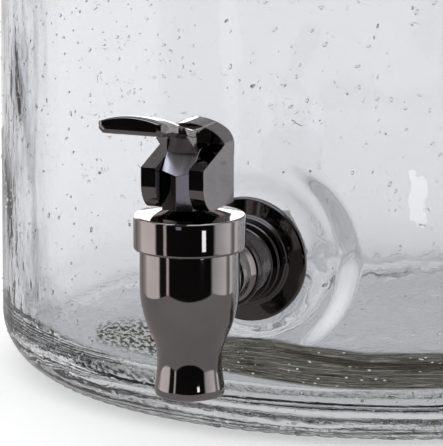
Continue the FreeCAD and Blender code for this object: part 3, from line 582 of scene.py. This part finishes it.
# ---------------------------------------------------------------- tap
def build_tap(chrome, painted_dark_chrome, rubber_finish):
    """The turned pieces of the tap. Outlines are in millimetres: (across, up) for the upright
    ones, and (across, distance from the wall) for the level ones."""
    def turned(name, shape, finish, count, *cad_nodes, level=False, slot="black_chrome"):
        piece = lathe(name, shape, finish, STEM, level, count=count)
        stand_for(piece, "jar_and_tap", slot, *cad_nodes)

    outlet_z, lip_z, waist_z, belly_z, seat_z, rim_z = 26.3, 29.0, 37.3, 46.25, 70.1, 76.1
    bore_r, lip_r, waist_r, belly_r, thread_r, chamber_r = 6.5, 10.3, 9.5, 14.7, 13.5, 12.2
    flare, lip_round, waist_round, belly_round = math.radians(23), 1.3, 15.0, 34
    step_in = lip_r - waist_r
    lip_arc = (step_in ** 2 + (waist_z - lip_z) ** 2) / (2 * step_in)
    tulip = outline([
        (bore_r, outlet_z + 0.6), (7.1, outlet_z), (lip_r - lip_round, outlet_z),
        (lip_r, outlet_z + lip_round, lip_round), (lip_r, lip_z), (waist_r, waist_z, -lip_arc),
        (waist_r + waist_round * (1 - math.cos(flare)), waist_z + waist_round * math.sin(flare),
         -waist_round),
        (belly_r - belly_round * (1 - math.cos(flare)), belly_z),
        (belly_r, belly_z + belly_round * math.sin(flare), belly_round), (belly_r, seat_z),
        (thread_r, seat_z), (thread_r, rim_z), (chamber_r, rim_z), (chamber_r, 52), (9.6, 45),
        (5.6, 45), (5.6, 41.5), (bore_r, 41.5)],
        step=0.45, soft=0.3, line_step=1.5)
    turned("tap_tulip", tulip, chrome, 144, "tap_body")

    # along the level axis each piece is up against the next
    plate_back, plate_front, sleeve_end, collar_end, neck_end = 2.6, 6.5, 19.4, 22.4, 37.0
    on_shank, in_neck, neck_r, on_neck, fillet_r, hollow = 7.95, 8.0, 9.5, 9.55, 10.4, 7.0
    neck = outline([
        (in_neck, plate_front), (neck_r, plate_front), (neck_r, collar_end),
        (fillet_r, collar_end), (9.1, 25.2, -hollow), (8.6, 28.0, -hollow), (9.1, 30.8, -hollow),
        (fillet_r, 34.9, -9.0), (fillet_r, neck_end), (in_neck, neck_end)], step=0.4, soft=0.25)
    turned("tap_neck", neck, chrome, 120, level=True)

    shoulder_z, crown_z, roof_z = 80.4, 82.3, 77.5
    bonnet_r, bonnet_round, stem_bore = 16.5, 0.8, 3.55
    flat_r = bonnet_r - bonnet_round
    bonnet = outline([
        (thread_r + 0.05, seat_z), (flat_r, seat_z),
        (bonnet_r, seat_z + bonnet_round, bonnet_round), (bonnet_r, shoulder_z - bonnet_round),
        (flat_r, shoulder_z, bonnet_round), (4.6, crown_z), (stem_bore, crown_z), (stem_bore, 74),
        (6.8, 74), (6.8, roof_z), (thread_r + 0.05, roof_z)],
        step=0.16, soft=0.35, line_step=1.6)
    turned("bonnet", bonnet, chrome, 160, "bonnet_ring")

    plate_r, hub_r, chamfer = 19, 13.5, 0.5
    plate = outline([
        (on_shank, plate_back), (plate_r - chamfer, plate_back), (plate_r, plate_back + chamfer),
        (plate_r, 4.2), (plate_r - chamfer, 4.2 + chamfer), (hub_r + chamfer, 5.2),
        (hub_r, 5.2 + chamfer), (hub_r, plate_front - chamfer), (hub_r - chamfer, plate_front),
        (10.15, plate_front), (10.15, 4.5), (on_shank, 4.5)],
        step=0.3, soft=0.35, line_step=1.5)
    # the plate, the sleeve and the ring take the chrome darkened by painted shade
    turned("escutcheon_plate", plate, painted_dark_chrome, 176, "escutcheon", level=True)
    sleeve = outline([
        (on_neck, plate_front), (12.1, plate_front), (12.6, 7.0), (12.35, 8.9), (11.95, 9.3),
        (12.2, 9.7), (11.75, 13.0), (11.35, 13.4), (11.6, 13.8), (10.9, sleeve_end),
        (on_neck, sleeve_end)],
        step=0.3, soft=0.25, line_step=1.5)
    turned("sleeve_on_neck", sleeve, painted_dark_chrome, 144, "neck_sleeve", level=True)
    collar_r = 11.0
    collar = outline([
        (on_neck, sleeve_end), (collar_r, sleeve_end), (collar_r, collar_end, 3.0),
        (on_neck, collar_end)], step=0.2, soft=0.2)
    turned("ring_on_neck", collar, painted_dark_chrome, 144, "neck_ring", level=True)
    gasket_back, pad_face, gasket_r, edge_round = -2.8, 1.2, 17.6, 0.8
    gasket = outline([
        (on_shank, gasket_back), (8.8, gasket_back), (8.8, pad_face), (gasket_r, pad_face),
        (gasket_r + 0.6, 1.9, edge_round), (gasket_r, plate_back, edge_round),
        (on_shank, plate_back)], step=0.2, soft=0.15)
    turned("gasket_under_plate", gasket, rubber_finish, 144, "outer_gasket", level=True,
           slot="black_rubber")


def softened_copy(cad_name, new_name, body, slot, finish, width, angle=28):
    """A copy of a CAD solid's surface, welded, with its edges sharper than angle rounded."""
    mesh = frame["nodes"][cad_name].data.copy()
    mesh.name = new_name
    mesh.materials.clear()
    mesh.materials.append(finish)
    made = bpy.data.objects.new(new_name, mesh)
    scene.collection.objects.link(made)
    bm = bmesh.new()
    bm.from_mesh(mesh)
    bmesh.ops.remove_doubles(bm, verts=bm.verts, dist=0.01 * MM)
    bmesh.ops.dissolve_limit(bm, angle_limit=math.radians(0.6), verts=bm.verts, edges=bm.edges)
    bm.to_mesh(mesh)
    bm.free()
    mesh.shade_smooth()
    bevel = made.modifiers.new("round", "BEVEL")
    bevel.limit_method = "ANGLE"
    bevel.angle_limit = math.radians(angle)
    bevel.width = width
    bevel.segments = 3
    bevel.harden_normals = True
    bevel.use_clamp_overlap = True
    weigh = made.modifiers.new("weigh", "WEIGHTED_NORMAL")
    weigh.keep_sharp = True
    return stand_for(made, body, slot, cad_name)


# ---------------------------------------------------------------- jar
def wave(point, size):
    """Smooth noise from -1 to 1 with features of this size."""
    return noise.noise(point / size)


def pad_depth(distance):
    """How far the moulded tap pad stands in front of the wall's foremost line, in millimetres,
    at a distance from the tap's axis."""
    rims = sum(0.03 * math.exp(-((distance - middle) / width) ** 2)
               for middle, width in ((23.4, 0.9), (31, 1.1)))
    face, skirt = 1.15, 0.12
    face_end, skirt_start, skirt_width = 19.3, 28, 5.5
    if distance < skirt_start:
        return rims + face + (skirt - face) * eased((distance - face_end) / (skirt_start - face_end))
    return rims + skirt * (1 - eased((distance - skirt_start) / skirt_width))


def build_jar(glass):
    """The jar's glass, with the flat pad that is moulded on its front for the tap."""
    radius, heel = round(JAR_RADIUS / MM), round(HEEL / MM)
    wall, base, shoulder, bend = 6, 12, 28, 4
    side_top, rim, neck, mouth = 225, 272, 97, 90
    top, inside = side_top + shoulder, radius - wall
    corners = [
        (0, 0), (radius - heel, 0), (radius, heel, heel), (radius, side_top),
        (radius - shoulder, top, shoulder), (neck + bend, top), (neck, top + bend, -bend),
        (neck, 262), (neck, rim - 1, 6), (neck - 1, rim), (mouth + 1, rim), (mouth, rim - 1),
        (mouth, top - 2), (mouth + bend, top - wall, bend), (radius - shoulder, top - wall),
        (inside, side_top, wall - shoulder), (inside, 2 * base), (inside - base, base, -base),
        (0, base)]
    points = outline(corners, step=1.6, soft=0.8, line_step=3.2)
    # extra rows where the tap pad is, on the outer wall only
    side, pad_low, pad_high, row = radius - 0.1, 22, 95, 0.62
    dense = []
    for index, point in enumerate(points):
        before = points[index - 1]
        rise = point[1] - before[1]
        if min(point[0], before[0]) > side and pad_low < point[1] < pad_high and rise > 0:
            parts = int(math.ceil(rise / row))
            dense += [(float(radius), before[1] + rise * k / parts) for k in range(1, parts)]
        dense.append(point)
    # closer columns there too
    fine, fine_count, coarse_count = math.radians(15.6), 118, 212
    angles = [-fine + 2 * fine * k / fine_count for k in range(fine_count + 1)]
    angles += [fine + (2 * math.pi - 2 * fine) * k / coarse_count for k in range(1, coarse_count)]
    pad_reach, pad_blend = 34, 27.4

    def move(point):
        """Brings the front wall out to the pad, and makes the rest of the side gently wavy."""
        flat = Vector((point.x, point.y, 0))
        across = flat.length / MM
        if across < mouth:
            return point
        from_tap = math.hypot(point.x, point.z - TAP_Z) / MM
        in_front = point.y < -120 * MM and 20 < point.z / MM < 98
        if across > radius - 0.5 and in_front and from_tap < pad_reach:
            front = WALL_Y - pad_depth(from_tap) * MM
            t = eased((from_tap - pad_blend) / 6.4)
            if front < point.y:
                return Vector((point.x, front * (1 - t) + point.y * t, point.z))
        swell = 0.5 + 0.5 * wave(point + Vector((7, 3, 1)), 45 * MM)
        ripple = 0.5 + 0.5 * wave(point, 19 * MM)
        shrink = (0.35 * swell + 0.08 * ripple) * MM
        shrink *= clamped((point.z / MM - 1) / 20) * clamped((245 - point.z / MM) / 30)
        if across < inside + 1.2:  # the inner face moves towards the wall's middle as well
            shrink = -shrink
        if point.y < -100 * MM:
            shrink *= clamped((from_tap - 33) / 10)
        return point - flat.normalized() * shrink

    jar = lathe("jar_glass", dense, glass, angles=angles, move=move)
    return stand_for(jar, "jar_and_tap", "clear_glass", "glass_jar")


def on_wall(angle, height, depth):
    """A point on the jar's outer side, angle from -Y towards +X, depth into the glass."""
    radius = JAR_RADIUS - depth
    lift = height
    away = Vector((math.sin(angle), -math.cos(angle), 0))
    if height < HEEL:
        tilt = math.acos(clamped((HEEL - height) / HEEL))
        radius = JAR_RADIUS - HEEL + (HEEL - depth) * math.sin(tilt)
        lift = HEEL - (HEEL - depth) * math.cos(tilt)
        normal = away * math.sin(tilt) - Vector((0, 0, 1)) * math.cos(tilt)
    else:
        normal = away
    return away * radius + Vector((0, 0, lift)), normal


def blobs(name, spots, finish, dome):
    """Many little drops (domes on the glass) or seeds (closed bubbles in it) as one mesh.
    A spot is (centre, normal, long half size, short half size, height, turn)."""
    verts, faces = [], []
    sides = 8
    for centre, normal, long, short, tall, turn in spots:
        up = Vector((0, 0, 1)) if abs(normal.z) < 0.9 else Vector((1, 0, 0))
        across = up.cross(normal).normalized()
        along = normal.cross(across)
        lengthwise = across * math.cos(turn) + along * math.sin(turn)
        crosswise = along * math.cos(turn) - across * math.sin(turn)
        start = len(verts)
        levels = (-0.35, 0.15, 0.55, 0.85) if dome else (-0.8, -0.3, 0.3, 0.8)
        verts.append(centre + normal * tall * (-0.6 if dome else -1))
        for level in levels:
            size = math.sqrt(1 - level * level)
            for k in range(sides):
                t = 2 * math.pi * k / sides
                verts.append(centre + normal * tall * level
                             + lengthwise * long * size * math.cos(t)
                             + crosswise * short * size * math.sin(t))
        verts.append(centre + normal * tall)
        last = len(verts) - 1
        ring = start + 1
        for k in range(sides):
            n = (k + 1) % sides
            faces.append((start, ring + n, ring + k))
            for level in range(len(levels) - 1):
                low = ring + level * sides
                faces.append((low + k, low + n, low + sides + n, low + sides + k))
            top = ring + (len(levels) - 1) * sides
            faces.append((top + k, top + n, last))
    if not dome:
        faces = [tuple(reversed(face)) for face in faces]
    return mesh_object(name, verts, faces, finish)


def build_glass_detail(glass, water):
    """Little drops that cling to the jar, and the bubbles that old glass has in it."""
    dice = random.Random(11)
    drops, seeds = [], []
    drop_count, seed_count, floor_seed_count = 2600, 900, 300
    low, high = 6, 235

    def clear_of_tap(angle, height):
        off_axis = math.hypot(math.sin(angle) * JAR_RADIUS, height - TAP_Z)
        return off_axis > 34 * MM or abs(angle) > math.pi / 2

    def at_an_edge_of_the_box(angle):
        """Where a drop would stand out past the CAD model's sides or its back."""
        return abs(math.cos(angle)) < 0.12 or math.cos(angle) < -0.985

    while len(drops) < drop_count:
        angle, height = dice.uniform(-math.pi, math.pi), dice.uniform(low, high) * MM
        place = Vector((math.sin(angle), -math.cos(angle), height / (100 * MM)))
        crowding = 0.5 + 0.5 * noise.noise(place * 2.2)
        kept = dice.random() <= crowding ** 1.5
        if not kept or not clear_of_tap(angle, height) or at_an_edge_of_the_box(angle):
            continue
        size = 0.2 + 0.45 * dice.random() ** 2.6
        centre, normal = on_wall(angle, height, 0.45 * MM)
        drops.append((centre, normal, size * dice.uniform(1.0, 1.8) * MM, size * MM * 0.8,
                      0.45 * MM + 0.35 * size * MM, math.radians(dice.gauss(52, 22))))
    while len(seeds) < seed_count:
        angle, height = dice.uniform(-math.pi, math.pi), dice.uniform(low, high) * MM
        depth = dice.uniform(1.6, 4.6) * MM
        size = 0.12 + 0.4 * dice.random() ** 3
        centre, normal = on_wall(angle, height, depth)
        seeds.append((centre, normal, size * dice.uniform(1.1, 2.4) * MM, size * MM,
                      size * MM, math.radians(dice.gauss(60, 25))))
    for _ in range(floor_seed_count):
        reach, angle = 122 * MM * math.sqrt(dice.random()), dice.uniform(-math.pi, math.pi)
        size = (0.2 + 0.6 * dice.random() ** 3) * MM
        centre = Vector((reach * math.sin(angle), reach * math.cos(angle), dice.uniform(2.5, 9) * MM))
        seeds.append((centre, Vector((0, 0, 1)), size * 1.3, size, size, dice.uniform(0, 3)))
    stand_for(blobs("drops_on_glass", drops, water, True), "jar_and_tap", "clear_glass")
    stand_for(blobs("seeds_in_glass", seeds, glass, False), "jar_and_tap", "clear_glass")


def build_heel_ribs(glass):
    """Fine slanted moulding ribs round the bearing edge, and a few drops hanging there."""
    spots = []
    count, slant = 120, math.radians(56)
    for k in range(count):
        centre, normal = on_wall(2 * math.pi * k / count, 0.75 * MM, 0.15 * MM)
        spots.append((centre, normal, 3.1 * MM, 0.55 * MM, 0.5 * MM, slant))
    for angle, height, size in ((-8, 1.2, 1.5), (5, 1.3, 1.2), (19, 1.2, 1.6), (-47, 1.2, 1.2),
                                (96, 1.3, 1.3), (171, 1.2, 1.4)):
        centre, normal = on_wall(math.radians(angle), height * MM, 0.2 * MM)
        spots.append((centre, normal, size * MM, size * 0.9 * MM, 0.8 * MM, 0.3))
    piece = blobs("heel_ribs", spots, glass, True)
    for vert in piece.data.vertices:
        vert.co.z = max(vert.co.z, 0.02 * MM)
    stand_for(piece, "jar_and_tap", "clear_glass")


def painted_shade_strip(name, track, finish, depth):
    """A strip of painted shade inside the glass along (angle, low, high) in degrees and millimetres,
    with its own measure along and up."""
    verts, faces, marks = [], [], []
    rows, degrees_each, least = 6, 0.8, 8
    first, last = track[0][0], track[-1][0]
    steps = max(int((last - first) / degrees_each), least)
    for k in range(steps + 1):
        angle = first + (last - first) * k / steps
        index = max(i for i in range(len(track) - 1) if track[i][0] <= angle + 1e-6)
        t = (angle - track[index][0]) / (track[index + 1][0] - track[index][0])
        low = track[index][1] + (track[index + 1][1] - track[index][1]) * t
        high = track[index][2] + (track[index + 1][2] - track[index][2]) * t
        for row in range(rows + 1):
            height = low + (high - low) * row / rows
            point, _ = on_wall(math.radians(angle), height * MM, depth * MM)
            verts.append(point)
            marks.append((k / steps, row / rows))
    for k in range(steps):
        for row in range(rows):
            corner = k * (rows + 1) + row
            faces.append((corner, corner + rows + 1, corner + rows + 2, corner + 1))
    piece = mesh_object(name, verts, faces, finish)
    layer = piece.data.uv_layers.new(name="along_and_up")
    for loop in piece.data.loops:
        layer.data[loop.index].uv = marks[loop.vertex_index]
    piece.visible_shadow = False
    piece.visible_diffuse = False
    return stand_for(piece, "jar_and_tap", "clear_glass")


def build_painted_glass_shades():
    """Painted shade for what the thick glass refracts: olive streaks with painted light specks where
    the glass is thickest, and painted shade over the heel's ribs, a speckled patch, some slanted marks
    and a streaked left side."""
    clear = (1.0, 1.0, 1.0)
    # painted shade of the refraction in the thick heel, olive with painted light specks
    band = painted_glass_shade("painted_olive_shade", [
        (0.36, (0.02, 0.024, 0.014)), (0.44, (0.12, 0.125, 0.085)), (0.49, (0.36, 0.35, 0.28)),
        (0.53, (0.06, 0.065, 0.05)), (0.60, (0.55, 0.5, 0.45))],
        5.0, (2.4, 9.0, 1.0), 0.06, specks=9.0)
    painted_shade_strip("heel_painted_olive_shade", [(-9, 22, 31), (-4, 20.8, 33), (3, 19.4, 33.4), (9, 18.4, 31.6),
                               (15, 18.2, 30.4), (25, 18.6, 30.4), (60, 18, 31)], band, 3.0)
    thin = painted_glass_shade("painted_refraction_lines", [
        (0.38, (0.03, 0.03, 0.02)), (0.47, (0.35, 0.3, 0.24)), (0.52, (1.0, 0.95, 0.85)),
        (0.58, (0.06, 0.05, 0.03))], 3.0, (0.5, 7.0, 1.0), 0.2)
    painted_shade_strip("heel_painted_shade_lines", [(2, 29.6, 31.6), (9, 26.6, 29.2), (15, 24.8, 27.6), (25, 24.6, 27.4),
                               (60, 24, 27)], thin, 2.0)
    ribs = painted_glass_shade("heel_ribs_painted_shade", [
        (0.36, (0.30, 0.31, 0.29)), (0.45, (0.55, 0.56, 0.55)), (0.50, clear),
        (0.56, (0.40, 0.41, 0.40)), (0.62, clear)], 1.0, (110.0, 3.0, 1.0), 0.12, 0.5)
    painted_shade_strip("heel_painted_shade", [(-84, 1.0, 9), (-58, 0.8, 10.2), (-45, 0.6, 10.8), (-38, 0.5, 10.0),
                              (-32, 0.4, 9.4), (-26, 0.3, 9.0), (-16, 0.2, 8.4), (-10, 0.2, 6.4)],
                ribs, 1.0)
    painted_shade_strip("heel_painted_shade_right", [(-13, 0.2, 6.6), (-5, 0.2, 5.6), (1, 0.2, 5.0), (9, 0.2, 4.4),
                                    (15, 0.2, 6.2), (25, 0.2, 7.4), (60, 0.2, 7.0)], ribs, 1.0)
    specks = painted_glass_shade("painted_speckled_shade", [
        (0.42, (0.10, 0.10, 0.07)), (0.48, (0.35, 0.35, 0.27)), (0.54, clear), (0.7, clear)],
        16.0, (1.0, 1.0, 1.0), 0.3)
    painted_shade_strip("painted_speckle_patch", [(-27, 23, 29), (-22, 21.5, 33.5), (-18, 21, 35), (-13, 20, 34)],
                specks, 2.0)
    marks = painted_glass_shade("painted_slanted_shade", [
        (0.40, (0.12, 0.12, 0.11)), (0.46, (0.4, 0.4, 0.38)), (0.52, clear), (0.7, clear)],
        5.0, (2.6, 0.9, 1.0), 0.25, 0.9)
    painted_shade_strip("painted_slant_patch", [(-29, 13, 18), (-22, 11.5, 17.5), (-15, 11, 16)], marks, 2.0)
    # painted shade streaking the jar's left side
    haze_and_painted_shade = painted_glass_shade("painted_edge_shade", [
        (0.34, (0.60, 0.61, 0.63)), (0.45, (0.82, 0.83, 0.84)), (0.54, clear), (0.7, clear)],
        6.0, (1.6, 1.0, 1.0), 0.15, 0.2)
    painted_shade_strip("painted_edge_strip", [(-70, 14, 225), (-52, 12, 225), (-38, 14, 225)], haze_and_painted_shade, 2.0)


# ---------------------------------------------------------------- lid
def build_lid(glass):
    """The low glass dome, with its rolled edge and the ring below that centres it."""
    hole, flat, ring_in, ring_out, edge, roll = 3.4, 20, 81, 86, 98, 2
    ring_low, under, over, crown = 264, 273, 278, 283
    lid = outline([
        (hole, over), (flat, over), (ring_in, under), (ring_in, ring_low), (ring_out, ring_low),
        (ring_out, under), (edge - roll, under), (edge, under + roll, roll), (edge, over - roll),
        (edge - roll, over, roll), (flat, crown), (hole, crown)],
        step=0.5, soft=0.6, line_step=4)
    stand_for(lathe("lid_glass", lid, glass, count=200), "lid_unit", "clear_glass", "lid")


# ---------------------------------------------------------------- valve spring
def build_spring(finish):
    """The spring's coils, copied from the CAD spring. The real coils close up by the valve's travel as
    the stem rises; this copy doesn't.
    """
    coils = frame["nodes"]["valve_spring"].data.copy()
    coils.name = "spring_coils"
    coils.materials.clear()
    coils.materials.append(finish)
    piece = bpy.data.objects.new("spring_coils", coils)
    scene.collection.objects.link(piece)
    stand_for(piece, "jar_and_tap", "stainless_steel", "valve_spring")
    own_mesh(piece)


# ---------------------------------------------------------------- make it
build_world()
build_stage()
chrome = black_chrome()
glass = clear_glass()
water = clear_glass("water_drops", (1, 1, 1), wavy=False)
water.node_tree.nodes["Principled BSDF"].inputs["IOR"].default_value = 1.33
seal = rubber()
plain_steel = steel()

# every CAD piece gets the finish of its slot, and some are then replaced
finishes = {"clear_glass": glass, "black_chrome": chrome, "stainless_steel": plain_steel,
            "black_rubber": seal, "milky_silicone": silicone()}
for part in frame["record"]["subparts"]:
    mesh = frame["nodes"][part["node"]].data
    mesh.materials.clear()
    mesh.materials.append(finishes[part["material_slot"]])

# the escutcheon plate, sleeve and ring get the same chrome with heavy painted shade
build_tap(chrome, black_chrome("black_chrome_painted_darker", 0.35), seal)
# the lever casting gets the same chrome with some painted shade
softened_copy("lever", "lever_casting", "lever_arm", "black_chrome",
              black_chrome("lever_chrome_painted_darker", 0.74), 0.35 * MM)
head = softened_copy("stem_head", "head_block", "stem", "black_chrome", chrome, 0.25 * MM, angle=16)
# the sloping facet takes a painted highlight: a finish brighter and bluer than the chrome
head.data.materials.append(painted_highlight_facet())
for face in head.data.polygons:
    slopes_to_the_front = -0.9 < face.normal.y < -0.5 and face.normal.z > 0.5
    if slopes_to_the_front:
        face.material_index = 1
build_jar(glass)
build_glass_detail(glass, water)
build_heel_ribs(glass)
build_painted_glass_shades()
build_lid(glass)
build_spring(plain_steel)
